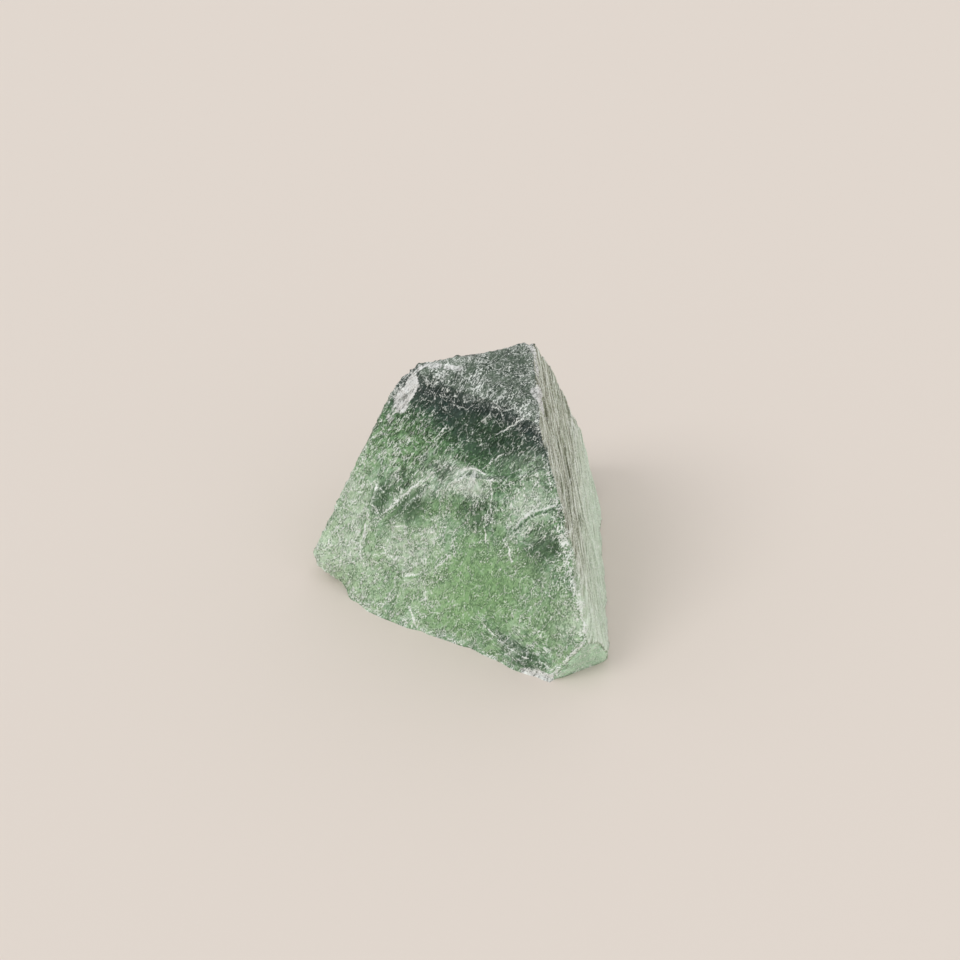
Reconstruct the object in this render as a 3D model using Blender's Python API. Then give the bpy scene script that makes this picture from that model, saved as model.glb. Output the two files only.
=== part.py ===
# Rough chunk of green fluorite: an octahedron that broke short along its cleavage.
# The stone stands on a flat cleavage face. The origin is the middle of its box, at the height of that face.

import math

import bmesh
import bpy
import numpy as np
from mathutils import Vector, noise
from mathutils.geometry import delaunay_2d_cdt

MM = 0.001
COLLECTION = "fluorite_octahedron"
STONE = "fluorite"

# Octahedral cleavage: the upper faces lean this far back from the vertical, a third of a turn apart
CLEAVAGE_LEAN = 19.4
FRONT_AZIMUTH = 238.6
FOOT_AZIMUTH = FRONT_AZIMUTH + 60.0
REAR_AZIMUTH = FRONT_AZIMUTH + 180.0
LEFT_AZIMUTH = FRONT_AZIMUTH - 60.0

# Millimetres, measured from the front foot, which stands at (0, 0, 0)
ROUGH_BLOCK = 200.0
RIGHT_FOOT = (11.9, 6.8, 0.0)
LEFT_FOOT = (-39.9, 24.6, 0.0)
LEFT_LOBE = (-46.8, 31.5, 7.3)
TOP_MIDDLE = (-13.7, 28.1, 47.5)

# Each face: azimuth and lean of its outward normal in degrees, then a point that it passes through
FACES = {
    "base": (0.0, -90.0, (0.0, 0.0, 0.0)),
    "front": (FRONT_AZIMUTH, CLEAVAGE_LEAN, (0.0, 0.0, 0.0)),
    "right": (0.8, 16.6, RIGHT_FOOT),
    "foot": (FOOT_AZIMUTH, -17.5, (0.0, 0.0, 0.0)),
    "top": (290.0, 84.5, TOP_MIDDLE),
    "top_left": (215.0, 70.0, (-22.5, 33.0, 48.0)),
    "top_left_chip": (190.0, 40.0, (-26.4, 36.3, 46.2)),
    "ridge_chip": (325.0, 26.5, (6.8, 0.5, 10.75)),
    "left": (150.0, 17.4, (-46.0, 31.0, 7.1)),
    "left_under": (LEFT_AZIMUTH, -CLEAVAGE_LEAN, LEFT_LOBE),
    "left_notch": (200.0, -47.0, LEFT_FOOT),
    "back_high": (107.0, 30.0, (-9.5, 41.6, 48.6)),
    "back_low": (98.0, 17.0, (3.5, 56.6, 25.9)),
    "back_under": (110.0, -25.0, (-20.0, 55.0, 6.0)),
    "back_chip": (75.0, 43.0, (-2.6, 43.6, 48.3)),
    "rear_under": (REAR_AZIMUTH - 360.0, -CLEAVAGE_LEAN, (10.6, 55.5, 3.5)),
}

# Spacing of the points that carry the relief
SKIN_STEP = 1.5
BASE_STEP = 4.0
CLEAR_OF_EDGE = 0.55
LEDGE_HALF_WIDTH = 0.28

# Ledges of the front face, where one cleavage layer ends: (across, up) in millimetres from the front
# foot, across running to the left. The layer on the left of the line's direction stands proud.
FRONT_LEDGES = {
    "flake_top": {"line": ((31.4, 28.6), (26.3, 34.6), (20.8, 35.7), (16.7, 37.2), (9.4, 41.6)),
                  "height": 1.0, "reach": 10.0},
    "flake_foot": {"line": ((15.0, 21.0), (14.6, 25.4), (10.1, 32.0), (5.4, 35.2)),
                   "height": 0.85, "reach": 9.0},
    "diagonal": {"line": ((40.6, 18.2), (36.4, 24.4), (31.1, 32.1), (26.8, 41.4)),
                 "height": 0.9, "reach": 7.0},
    "left_rib": {"line": ((43.9, 8.0), (45.3, 14.9), (44.3, 25.0)),
                 "height": 0.9, "reach": 8.0},
    "upper_streak": {"line": ((38.5, 27.0), (35.2, 33.0), (31.4, 40.0)),
                     "height": 0.45, "reach": 3.0},
    "low_scar": {"line": ((35.0, 8.6), (31.4, 10.6), (28.6, 13.4), (26.3, 17.6)),
                 "height": 0.5, "reach": 5.0},
    "jagged_crack": {"line": ((19.3, 23.5), (18.3, 28.5), (19.2, 33.6)),
                     "height": 0.4, "reach": 3.0},
    "foot_stria": {"line": ((18.0, 8.4), (12.0, 5.6), (3.0, 3.4)),
                   "height": 0.5, "reach": 4.0},
}

# Lumps and bites: face, (across, up) of the middle, radius along each, height
SWELLS = (
    ("front", (35.5, 0.0), (10.5, 5.0), 1.55),
    ("front", (7.5, 0.0), (4.5, 3.0), 0.5),
    ("front", (-4.6, 18.0), (3.0, 3.2), 0.8),
    ("front", (1.6, 26.0), (3.0, 4.5), -0.7),
    ("front", (54.5, 8.0), (3.5, 4.5), 0.9),
    ("front", (25.0, 13.0), (15.0, 9.0), 0.5),
    ("front", (18.0, 44.5), (9.0, 3.0), -0.5),
    ("front", (48.6, 1.8), (2.6, 2.6), -1.3),
    ("left_notch", (1.5, 1.5), (2.5, 2.0), -1.0),
    ("top", (4.0, 3.0), (8.0, 5.0), -0.6),
)

# Roughness of each kind of face: height, then wavelength across and along its grain, grain direction in degrees
GRAIN = {
    "front": (0.16, 5.0, 11.0, 120.0),
    "right": (0.42, 2.7, 26.0, 113.0),
    "ridge_chip": (0.25, 2.5, 12.0, 113.0),
    "foot": (0.12, 5.0, 6.0, 0.0),
    "top": (0.42, 3.4, 5.5, 60.0),
    "top_left": (0.35, 3.4, 5.0, 60.0),
    "top_left_chip": (0.30, 3.0, 4.0, 60.0),
    "left": (0.55, 4.5, 16.0, 60.0),
    "left_under": (0.30, 4.0, 6.0, 0.0),
    "left_notch": (0.35, 3.5, 4.0, 0.0),
    "back_high": (0.60, 4.5, 9.0, 120.0),
    "back_low": (0.55, 4.0, 18.0, 60.0),
    "back_under": (0.45, 4.0, 7.0, 0.0),
    "back_chip": (0.35, 3.0, 4.0, 0.0),
    "rear_under": (0.35, 4.0, 8.0, 60.0),
}
FINE_GRAIN = {"share": 0.5, "across": 2.3, "along": 1.9}
FACE_SEED = 7.3
FINE_SEED = 3.1

# Worn edges: the least wear, and how much more a chipped stretch loses, as shares of the depth
EDGE_WEAR = 0.42
EDGE_WEAR_WAVE = 2.6
EDGE_WEAR_LEAST = 0.35
EDGE_WEAR_CHIP = 1.6

# A ledge fades out over this length at its ends, from this share of its height
LEDGE_END = 3.0
LEDGE_END_SHARE = 0.15

LOWEST_LIFT = 0.06
CORNER_SOFTENING = 0.08
MISFIT_PER_TURN = 50.0
WELD = 0.001

STONE_COLOUR = (0.255, 0.352, 0.235, 1.0)
STONE_ROUGHNESS = 0.42


def clear_scene():
    for item in list(bpy.data.objects):
        bpy.data.objects.remove(item, do_unlink=True)


class Face:
    """A cleavage or break plane with its own across and up axes."""

    def __init__(self, name):
        azimuth, lean, point = FACES[name]
        turn, tilt = math.radians(azimuth), math.radians(lean)
        self.name = name
        self.point = Vector(point)
        self.normal = Vector((math.cos(turn) * math.cos(tilt), math.sin(turn) * math.cos(tilt), math.sin(tilt)))
        level = self.normal.cross(Vector((0.0, 0.0, 1.0)))
        self.across = level.normalized() if level.length > 1e-4 else Vector((1.0, 0.0, 0.0))
        self.up = self.across.cross(self.normal)

    def flat(self, place):
        step = place - self.point
        return Vector((step.dot(self.across), step.dot(self.up)))

    def solid(self, flat):
        return self.point + self.across * flat[0] + self.up * flat[1]


def cleave_block(faces):
    """Split a rough block along every plane and keep what lies inside them all."""
    bm = bmesh.new()
    bmesh.ops.create_cube(bm, size=ROUGH_BLOCK)
    for face in faces.values():
        everything = bm.verts[:] + bm.edges[:] + bm.faces[:]
        cut = bmesh.ops.bisect_plane(bm, geom=everything, plane_co=face.point, plane_no=face.normal,
                                     clear_outer=True)
        rim = [part for part in cut["geom_cut"] if isinstance(part, bmesh.types.BMEdge)]
        if rim:
            bmesh.ops.contextual_create(bm, geom=rim)
    bmesh.ops.remove_doubles(bm, verts=bm.verts, dist=WELD)
    bmesh.ops.recalc_face_normals(bm, faces=bm.faces)
    return bm


def plane_of(polygon, faces):
    middle = polygon.calc_center_median()

    def misfit(face):
        return abs((middle - face.point).dot(face.normal)) + (1.0 - polygon.normal.dot(face.normal)) * MISFIT_PER_TURN

    return min(faces.values(), key=misfit)


def inside(corners, spot, margin):
    """True where a spot lies inside a convex outline by more than the margin."""
    for start, end in zip(corners, corners[1:] + corners[:1]):
        run = (end - start).normalized()
        if run.cross(spot - start) < margin:
            return False
    return True


def edge_points(start, end, step):
    """Even points from start up to, not with, end. Both faces of an edge get the same points."""
    low, high = sorted((start, end), key=lambda place: tuple(place))
    count = max(1, round((end - start).length / step))
    row = [low.lerp(high, index / count) for index in range(count + 1)]
    return row[:-1] if low is start else row[:0:-1]


def lattice(corners, step, grain):
    """Triangular net of points inside an outline, its rows along the face's grain."""
    turn = math.radians(grain)
    along = Vector((math.cos(turn), math.sin(turn)))
    side = Vector((-along.y, along.x))
    reach = max((corner - corners[0]).length for corner in corners)
    rows = math.ceil(reach / step) + 2
    spots = []
    for row in range(-rows, rows + 1):
        for column in range(-rows, rows + 1):
            shift = column + 0.5 * (row % 2)
            spot = corners[0] + along * (shift * step) + side * (row * step * math.sqrt(0.75))
            if inside(corners, spot, step * CLEAR_OF_EDGE):
                spots.append(spot)
    return spots


def ledge_spots(corners, step):
    """Two close rows of points along each ledge of the front face, so that it keeps a crisp edge."""
    spots = []
    for ledge in FRONT_LEDGES.values():
        line = [Vector(spot) for spot in ledge["line"]]
        for start, end in zip(line, line[1:]):
            run = end - start
            side = Vector((-run.y, run.x)).normalized() * LEDGE_HALF_WIDTH
            count = max(1, round(run.length / step))
            for index in range(count):
                spot = start + run * ((index + 0.5) / count)
                spots += [spot + side, spot - side]
    return [spot for spot in spots if inside(corners, spot, step * CLEAR_OF_EDGE)]


def skin(block, faces):
    """Cover the cleaved block with evenly spaced points, and note which planes each point lies on."""
    bm = bmesh.new()
    placed = {}
    planes = {}

    def vertex(place, face):
        key = tuple(round(value, 3) for value in place)
        if key not in placed:
            placed[key] = bm.verts.new(place)
            planes[placed[key]] = set()
        planes[placed[key]].add(face.name)
        return placed[key]

    for polygon in block.faces:
        face = plane_of(polygon, faces)
        rim = [vert.co.copy() for vert in polygon.verts]
        rim.reverse()
        corners = [face.flat(place) for place in rim]
        places = []
        for start, end in zip(rim, rim[1:] + rim[:1]):
            places += edge_points(start, end, SKIN_STEP)
        rim_count = len(places)
        outline = [face.flat(place) for place in places]
        if face.name == "base":
            spots = lattice(corners, BASE_STEP, 0.0)
        else:
            spots = lattice(corners, SKIN_STEP, GRAIN[face.name][3])
        if face.name == "front":
            rows = ledge_spots(corners, SKIN_STEP)
            spots = rows + [spot for spot in spots
                            if all((spot - other).length > SKIN_STEP * CLEAR_OF_EDGE for other in rows)]
        places += [face.solid(spot) for spot in spots]
        result = delaunay_2d_cdt(outline + spots, [], [list(range(rim_count))], 1, 1e-5)
        for triangle in result[2]:
            corner_places = [places[result[3][index][0]] for index in triangle]
            corner_places.reverse()
            bm.faces.new([vertex(place, face) for place in corner_places])
    return bm, planes


def ledge_height(spot, ledge):
    """Height that a ledge adds at a spot: proud on the left of its line, fading away from it."""
    line = [Vector(point) for point in ledge["line"]]
    best = None
    travelled = 0.0
    for start, end in zip(line, line[1:]):
        run = end - start
        share = max(0.0, min(1.0, (spot - start).dot(run) / run.length_squared))
        away = spot - (start + run * share)
        if best is None or away.length < best[0]:
            best = (away.length, run.cross(spot - start), travelled + run.length * share)
        travelled += run.length
    distance, turn, along = best
    if turn < 0.0:
        return 0.0
    ends = min(1.0, min(along, travelled - along) / LEDGE_END + LEDGE_END_SHARE)
    return ledge["height"] * ends * math.exp(-distance / ledge["reach"])


def grain_height(face, place):
    height, across_wave, along_wave, turn = GRAIN[face.name]
    flat = face.flat(place)
    turn = math.radians(turn)
    along = flat.x * math.cos(turn) + flat.y * math.sin(turn)
    side = flat.y * math.cos(turn) - flat.x * math.sin(turn)
    seed = FACE_SEED * list(FACES).index(face.name)
    side, along = side / across_wave, along / along_wave
    broad = noise.noise(Vector((side, along, seed)))
    fine = noise.noise(Vector((side * FINE_GRAIN["across"], along * FINE_GRAIN["along"], seed + FINE_SEED)))
    return height * (broad + FINE_GRAIN["share"] * fine)


def relief(face, place, on_edge):
    if face.name == "base":
        return 0.0
    height = grain_height(face, place)
    flat = face.flat(place)
    if face.name == "front":
        height += sum(ledge_height(flat, ledge) for ledge in FRONT_LEDGES.values())
    for where, middle, radius, lift in SWELLS:
        if where == face.name:
            away = ((flat.x - middle[0]) / radius[0]) ** 2 + ((flat.y - middle[1]) / radius[1]) ** 2
            height += lift * math.exp(-away)
    if on_edge:
        chip = noise.noise(place / EDGE_WEAR_WAVE)
        height -= EDGE_WEAR * (EDGE_WEAR_LEAST + max(0.0, chip) * EDGE_WEAR_CHIP)
    return height


def raise_relief(bm, planes, faces):
    """Move every point off its planes by their relief, and keep the face that it stands on flat."""
    for vert in bm.verts:
        names = sorted(planes[vert])
        normals = np.array([faces[name].normal for name in names])
        heights = np.array([relief(faces[name], vert.co, len(names) > 1) for name in names])
        spread = normals @ normals.T + CORNER_SOFTENING * np.eye(len(names))
        pull = np.linalg.solve(spread, heights * (1.0 + CORNER_SOFTENING))
        moved = vert.co + Vector(normals.T @ pull)
        moved.z = 0.0 if "base" in names else max(moved.z, LOWEST_LIFT)
        vert.co = moved


def centre_on_base(bm):
    low = Vector(min(vert.co[axis] for vert in bm.verts) for axis in range(3))
    high = Vector(max(vert.co[axis] for vert in bm.verts) for axis in range(3))
    bmesh.ops.translate(bm, verts=bm.verts, vec=(-(low.x + high.x) / 2.0, -(low.y + high.y) / 2.0, 0.0))
    bmesh.ops.scale(bm, verts=bm.verts, vec=(MM, MM, MM))


def fluorite_material():
    material = bpy.data.materials.new("green_fluorite")
    material.use_nodes = True
    shader = material.node_tree.nodes["Principled BSDF"]
    shader.inputs["Base Color"].default_value = STONE_COLOUR
    shader.inputs["Roughness"].default_value = STONE_ROUGHNESS
    shader.inputs["Metallic"].default_value = 0.0
    return material


def build_stone(collection):
    faces = {name: Face(name) for name in FACES}
    block = cleave_block(faces)
    bm, planes = skin(block, faces)
    block.free()
    raise_relief(bm, planes, faces)
    centre_on_base(bm)
    mesh = bpy.data.meshes.new(STONE)
    bm.to_mesh(mesh)
    bm.free()
    mesh.materials.append(fluorite_material())
    stone = bpy.data.objects.new(STONE, mesh)
    collection.objects.link(stone)
    return stone


def main():
    clear_scene()
    collection = bpy.data.collections.new(COLLECTION)
    bpy.context.scene.collection.children.link(collection)
    build_stone(collection)


main()
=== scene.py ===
import math

import bmesh
import bpy
import numpy as np
from mathutils import Matrix, Vector, noise


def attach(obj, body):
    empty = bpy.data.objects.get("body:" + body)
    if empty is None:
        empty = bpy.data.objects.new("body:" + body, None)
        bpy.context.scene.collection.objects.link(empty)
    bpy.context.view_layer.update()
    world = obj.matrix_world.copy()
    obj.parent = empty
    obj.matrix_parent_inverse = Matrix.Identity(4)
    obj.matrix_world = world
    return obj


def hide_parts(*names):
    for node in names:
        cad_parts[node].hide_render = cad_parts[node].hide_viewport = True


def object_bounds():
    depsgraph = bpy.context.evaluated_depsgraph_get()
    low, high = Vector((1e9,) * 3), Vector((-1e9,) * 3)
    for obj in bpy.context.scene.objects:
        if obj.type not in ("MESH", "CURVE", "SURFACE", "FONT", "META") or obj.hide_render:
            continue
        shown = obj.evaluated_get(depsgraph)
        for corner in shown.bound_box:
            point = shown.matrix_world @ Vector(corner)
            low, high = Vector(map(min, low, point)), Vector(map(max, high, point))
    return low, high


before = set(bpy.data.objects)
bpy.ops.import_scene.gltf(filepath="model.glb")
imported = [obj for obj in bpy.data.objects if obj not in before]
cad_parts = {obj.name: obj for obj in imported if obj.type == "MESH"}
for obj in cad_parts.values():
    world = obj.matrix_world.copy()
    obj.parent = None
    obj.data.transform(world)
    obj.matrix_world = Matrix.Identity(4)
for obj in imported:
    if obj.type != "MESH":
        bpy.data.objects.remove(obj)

mm = 0.001
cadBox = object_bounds()
print("solid's box", [round(value, 4) for corner in cadBox for value in corner])


# Small helpers

def linear(red, green, blue):
    # screen colour, 0 to 255, to the linear values that shaders use
    parts = [value / 255 for value in (red, green, blue)]
    return tuple(v / 12.92 if v <= 0.04045 else ((v + 0.055) / 1.055) ** 2.4 for v in parts) + (1.0,)


def facing(azimuth, lean):
    # unit vector from an azimuth and the angle above the horizon, in degrees
    turn, tilt = math.radians(azimuth), math.radians(lean)
    return Vector((math.cos(turn) * math.cos(tilt), math.sin(turn) * math.cos(tilt), math.sin(tilt)))


def smooth(low, high, value):
    share = np.clip((value - low) / (high - low), 0.0, 1.0)
    return share * share * (3.0 - 2.0 * share)


# The stone's cleavage frame. The front foot is the corner nearest to the viewer, and the
# big faces are found from it as on the solid.
stone = dict(
    footFromBoxCorner=(46.447, -0.159),   # mm, from the box's low corner
    front=(238.6, 19.4, (0.0, 0.0, 0.0)),   # azimuth, lean, a point in mm from the front foot
    right=(0.8, 16.6, (11.9, 6.8, 0.0)),
    top=(290.0, 84.5, (-13.7, 28.1, 47.5)),
    foot=(298.6, -17.5, (0.0, 0.0, 0.0)),
    ridgeChip=(325.0, 26.5, (6.8, 0.5, 10.75)),
)
frontFoot = Vector((cadBox[0].x + stone["footFromBoxCorner"][0] * mm,
                    cadBox[0].y + stone["footFromBoxCorner"][1] * mm, 0.0))


class FaceFrame:
    # across and up axes of one flat face, with places on it in mm
    def __init__(self, name):
        azimuth, lean, point = stone[name]
        self.normal = facing(azimuth, lean)
        self.across = self.normal.cross(Vector((0.0, 0.0, 1.0))).normalized()
        self.up = self.across.cross(self.normal)
        self.point = frontFoot + Vector(point) * mm
        self.axes = (self.across, self.up, self.normal)

    def measure(self, places):
        # across, up and height above the face, in mm, for an array of places in metres
        away = (places - np.array(self.point)) / mm
        return (away @ np.array(self.across), away @ np.array(self.up), away @ np.array(self.normal))


frontFace = FaceFrame("front")
rightFace = FaceFrame("right")
topFace = FaceFrame("top")
footFace = FaceFrame("foot")
ridgeChip = FaceFrame("ridgeChip")


# Camera: the photograph's view, a long lens looking down 40 degrees

cameraView = dict(lens=100.0, sensor=36.0, elevation=40.0, imageSize=960,
                  footPixel=(550.0, 683.0), distance=0.5067)


def placeCamera():
    view = cameraView
    focal = view["imageSize"] * view["lens"] / view["sensor"]
    tilt = math.radians(view["elevation"])
    ahead = Vector((0.0, math.cos(tilt), -math.sin(tilt)))
    side = Vector((1.0, 0.0, 0.0))
    upward = side.cross(ahead)
    middle = view["imageSize"] / 2
    toFoot = (ahead + side * ((view["footPixel"][0] - middle) / focal)
              - upward * ((view["footPixel"][1] - middle) / focal))
    data = bpy.data.cameras.new("camera")
    data.lens = view["lens"]
    data.sensor_width = view["sensor"]
    data.clip_start = 0.01
    camera = bpy.data.objects.new("camera", data)
    camera.location = frontFoot - toFoot * view["distance"]
    camera.rotation_euler = (math.radians(90.0 - view["elevation"]), 0.0, 0.0)
    bpy.context.scene.collection.objects.link(camera)
    bpy.context.scene.camera = camera


placeCamera()
print("camera placed")


# Shader maths

class Wire:
    # one socket of a shader, so that maths on it reads as maths
    def __init__(self, shader, socket):
        self.shader = shader
        self.socket = socket

    def maths(self, operation, *others):
        return self.shader.node("ShaderNodeMath", dict(operation=operation), (self,) + others)

    def __add__(self, other):
        return self.maths("ADD", other)

    __radd__ = __add__

    def __sub__(self, other):
        return self.maths("SUBTRACT", other)

    def __rsub__(self, other):
        return self.shader.node("ShaderNodeMath", dict(operation="SUBTRACT"), (other, self))

    def __mul__(self, other):
        return self.maths("MULTIPLY", other)

    __rmul__ = __mul__

    def __truediv__(self, other):
        return self.maths("DIVIDE", other)

    def __rtruediv__(self, other):
        return self.shader.node("ShaderNodeMath", dict(operation="DIVIDE"), (other, self))

    def __pow__(self, other):
        return self.maths("POWER", other)

    def __neg__(self):
        return self.maths("MULTIPLY", -1.0)

    def __abs__(self):
        return self.maths("ABSOLUTE")

    def fraction(self):
        return self.maths("FRACT")

    def whole(self):
        return self.maths("FLOOR")

    def atMost(self, other):
        return self.maths("MINIMUM", other)

    def atLeast(self, other):
        return self.maths("MAXIMUM", other)

    def between(self, low, high):
        # 0 below low, 1 above high, a soft step between them
        return self.shader.node("ShaderNodeMapRange", dict(interpolation_type="SMOOTHSTEP", clamp=True),
                                {"Value": self, "From Min": low, "From Max": high,
                                 "To Min": 0.0, "To Max": 1.0})


class Shader:
    # a new material, with one method that adds any node
    def __init__(self, name):
        self.material = bpy.data.materials.new(name)
        self.material.use_nodes = True
        self.tree = self.material.node_tree
        self.surface = self.tree.nodes["Principled BSDF"]

    def node(self, kind, settings, values, output=0):
        made = self.tree.nodes.new(kind)
        for name, value in settings.items():
            if name == "stops":
                self.setStops(made.color_ramp, value)
            else:
                setattr(made, name, value)
        self.fill(made, values)
        return Wire(self, made.outputs[output])

    def fill(self, made, values):
        # set the sockets by name or by place, with a wire or a fixed value
        pairs = values.items() if isinstance(values, dict) else enumerate(values)
        for name, value in pairs:
            socket = made.inputs[name]
            if isinstance(value, Wire):
                self.tree.links.new(value.socket, socket)
            else:
                socket.default_value = value

    def setStops(self, ramp, stops):
        while len(ramp.elements) < len(stops):
            ramp.elements.new(0.5)
        for element, (place, colour) in zip(ramp.elements, stops):
            element.position = place
            element.color = colour

    def attribute(self, name):
        return self.node("ShaderNodeAttribute", dict(attribute_name=name), {}, "Fac")

    def mixColour(self, share, first, second):
        return self.node("ShaderNodeMix", dict(data_type="RGBA", clamp_factor=True),
                         {0: share, 6: first, 7: second}, 2)

    def place(self):
        return self.node("ShaderNodeTexCoord", {}, {}, "Object")

    def bent(self, size, amount):
        # place on the stone pushed about by a slow noise, both in mm, so that strokes curve
        drift = self.node("ShaderNodeTexNoise", dict(noise_dimensions="3D"),
                          {"Vector": self.place(), "Scale": 1.0 / (size * mm), "Detail": 1.0}, "Color")
        centred = self.node("ShaderNodeVectorMath", dict(operation="SUBTRACT"), (drift, (0.5, 0.5, 0.5)))
        return self.node("ShaderNodeVectorMath", dict(operation="MULTIPLY_ADD"),
                         (centred, (amount * mm,) * 3, self.place()))

    def stretched(self, where, axes, sizes, turn=0.0):
        # a place measured along a face's axes and into the stone, in units of the sizes in mm
        first, second = axes[:2]
        swing, lift = math.cos(math.radians(turn)), math.sin(math.radians(turn))
        along = first * swing + second * lift
        beside = second * swing - first * lift
        turned = Matrix((along, beside, along.cross(beside))).transposed().to_euler()
        return self.node("ShaderNodeMapping", dict(vector_type="TEXTURE"),
                         {"Vector": where, "Rotation": turned, "Scale": tuple(size * mm for size in sizes)})

    def veins(self, where, width):
        # thin pale lines round uneven cells
        gap = self.node("ShaderNodeTexVoronoi", dict(feature="DISTANCE_TO_EDGE"),
                        {"Vector": where, "Scale": 1.0}, "Distance")
        return 1.0 - gap.between(0.0, width)

    def cells(self, where):
        # one value from 0 to 1 for each uneven cell
        tint = self.node("ShaderNodeTexVoronoi", dict(feature="F1"), {"Vector": where, "Scale": 1.0}, "Color")
        return self.node("ShaderNodeSeparateColor", {}, (tint,), "Red")

    def grain(self, where, detail, roughness=0.55):
        return self.node("ShaderNodeTexNoise", dict(noise_dimensions="3D"),
                         {"Vector": where, "Scale": 1.0, "Detail": detail, "Roughness": roughness}, "Fac")


# Marks on the front face: (across, up) in mm from the front foot, across running to the left.
# Each line is a crack or the lip of a cleavage layer, with its width in mm and how white it is.

frontLines = dict(
    flakeTop=(0.22, 0.9, ((28.0, 32.6), (26.9, 34.0), (25.8, 35.4), (24.5, 36.3), (22.9, 36.2), (20.8, 35.5),
                          (18.4, 35.7))),
    flakeInner=(0.16, 0.7, ((26.4, 33.2), (25.2, 34.9), (23.6, 35.6), (21.6, 35.0))),
    flakeLeft=(0.14, 0.4, ((33.2, 29.2), (30.5, 30.6), (28.0, 32.6))),
    patchTop=(0.20, 0.4, ((18.4, 35.7), (16.6, 36.9), (14.9, 38.5), (12.8, 39.0), (9.3, 40.3))),
    upperPatch=(0.16, 0.35, ((22.6, 36.2), (20.6, 39.5), (18.0, 41.6), (15.0, 42.8))),
    flakeFoot=(0.26, 0.85, ((5.9, 38.0), (6.2, 35.2), (8.6, 33.5), (11.0, 31.8), (12.4, 29.8), (12.9, 28.5),
                           (14.3, 25.8), (15.0, 24.6), (13.7, 24.1), (12.6, 21.4))),
    crack=(0.17, 0.8, ((19.8, 35.4), (18.9, 32.0), (19.1, 29.8), (18.2, 27.5), (19.4, 25.8), (18.7, 22.9))),
    diagonalTop=(0.20, 0.35, ((25.0, 44.6), (28.0, 38.6))),
    diagonal=(0.24, 0.7, ((28.0, 38.6), (31.2, 33.3), (34.5, 29.7), (38.2, 24.9), (41.0, 20.6))),
    diagonalTwin=(0.20, 0.4, ((28.0, 40.6), (31.0, 36.2), (34.6, 31.8))),
    island=(0.14, 0.4, ((29.1, 36.2), (28.0, 34.4), (29.3, 32.0), (33.4, 30.0))),
    upperStreak=(0.15, 0.45, ((34.8, 43.4), (38.3, 38.1), (40.9, 34.4))),
    upperStreakTwin=(0.13, 0.35, ((36.6, 43.0), (39.0, 39.6))),
    darkDash=(0.17, 0.7, ((15.6, 50.2), (18.4, 46.8), (21.0, 44.1))),
    leftRib=(0.26, 0.8, ((44.0, 25.6), (44.6, 21.8), (45.1, 18.1), (44.4, 15.4), (45.3, 11.8), (43.9, 8.6))),
    hook=(0.18, 0.6, ((44.8, 21.4), (43.0, 21.1), (41.6, 18.9))),
    scarTop=(0.18, 0.55, ((38.6, 18.4), (36.3, 19.8), (33.2, 19.6), (30.0, 21.4))),
    scarFoot=(0.16, 0.5, ((40.4, 14.8), (39.1, 12.6), (37.2, 12.0), (35.1, 13.2))),
    lowScar=(0.20, 0.7, ((34.4, 9.6), (30.8, 11.2), (28.9, 13.0), (27.0, 15.1), (25.6, 17.6))),
    blueLine=(0.15, 0.4, ((30.6, 10.8), (29.2, 8.4), (28.9, 6.0))),
    footCrack=(0.24, 0.7, ((31.9, 4.0), (30.4, 1.7), (29.1, -0.2))),
    lowLeftLine=(0.15, 0.45, ((43.9, 5.6), (42.3, 1.8), (41.0, -0.9))),
    footStria=(0.14, 0.6, ((17.6, 7.4), (12.4, 4.6), (7.2, 3.4), (2.4, 3.2))),
    lowerStria=(0.12, 0.5, ((13.2, 3.4), (8.6, 2.2), (3.2, 1.3))),
    ridgeHigh=(0.20, 0.4, ((12.2, 48.8), (9.3, 41.2), (6.3, 35.2), (3.3, 28.4))),
    footEdge=(0.22, 0.6, ((-5.4, 11.0), (-3.2, 8.0), (-1.4, 4.2), (0.6, 0.8))),
)

# Areas of the front face, each an oval: middle, radius across and up in mm, turn in degrees, strength.
# The haze is soft white frosting, and the fleck is how densely the white hackle covers an area.
frontHaze = dict(
    bruise=((25.4, 32.8), (2.5, 2.2), 0.0, 1.3),
    bruiseHalo=((25.0, 33.4), (4.4, 2.4), 15.0, 0.8),
    flakeShoulder=((30.4, 30.2), (3.6, 1.4), 130.0, 0.4),
    patch=((11.0, 33.8), (5.0, 3.6), 120.0, 0.62),
    patchLow=((13.6, 28.2), (2.2, 3.0), 120.0, 0.32),
    upperPatch=((17.6, 39.2), (4.0, 2.2), 150.0, 0.3),
    diagonalBand=((32.6, 32.6), (9.0, 0.8), 124.0, 0.38),
    diagonalLow=((38.0, 25.4), (5.0, 0.8), 126.0, 0.42),
    flakeSheet=((29.0, 31.0), (3.0, 1.6), 130.0, 0.5),
    patchCorner=((5.8, 36.6), (0.9, 2.6), 10.0, 0.9),
    leftBand=((48.2, 17.0), (3.0, 8.0), 0.0, 0.42),
    lobe=((54.6, 6.6), (3.0, 5.0), 0.0, 0.55),
    besideRidge=((12.4, 40.4), (3.0, 2.4), 0.0, 0.25),
    scar=((36.9, 15.8), (3.4, 3.4), 0.0, 0.42),
    besideScar=((31.0, 18.0), (3.0, 4.0), 0.0, 0.3),
    underScar=((32.6, 9.4), (4.0, 1.6), 30.0, 0.32),
    blockyMarks=((7.2, 28.4), (2.8, 1.5), 140.0, 0.25),
    ridgeFoot=((-3.4, 14.6), (1.5, 5.0), 28.0, 0.5),
    footCrumbs=((2.4, 0.2), (3.6, 0.9), 0.0, 0.9),
)
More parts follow.
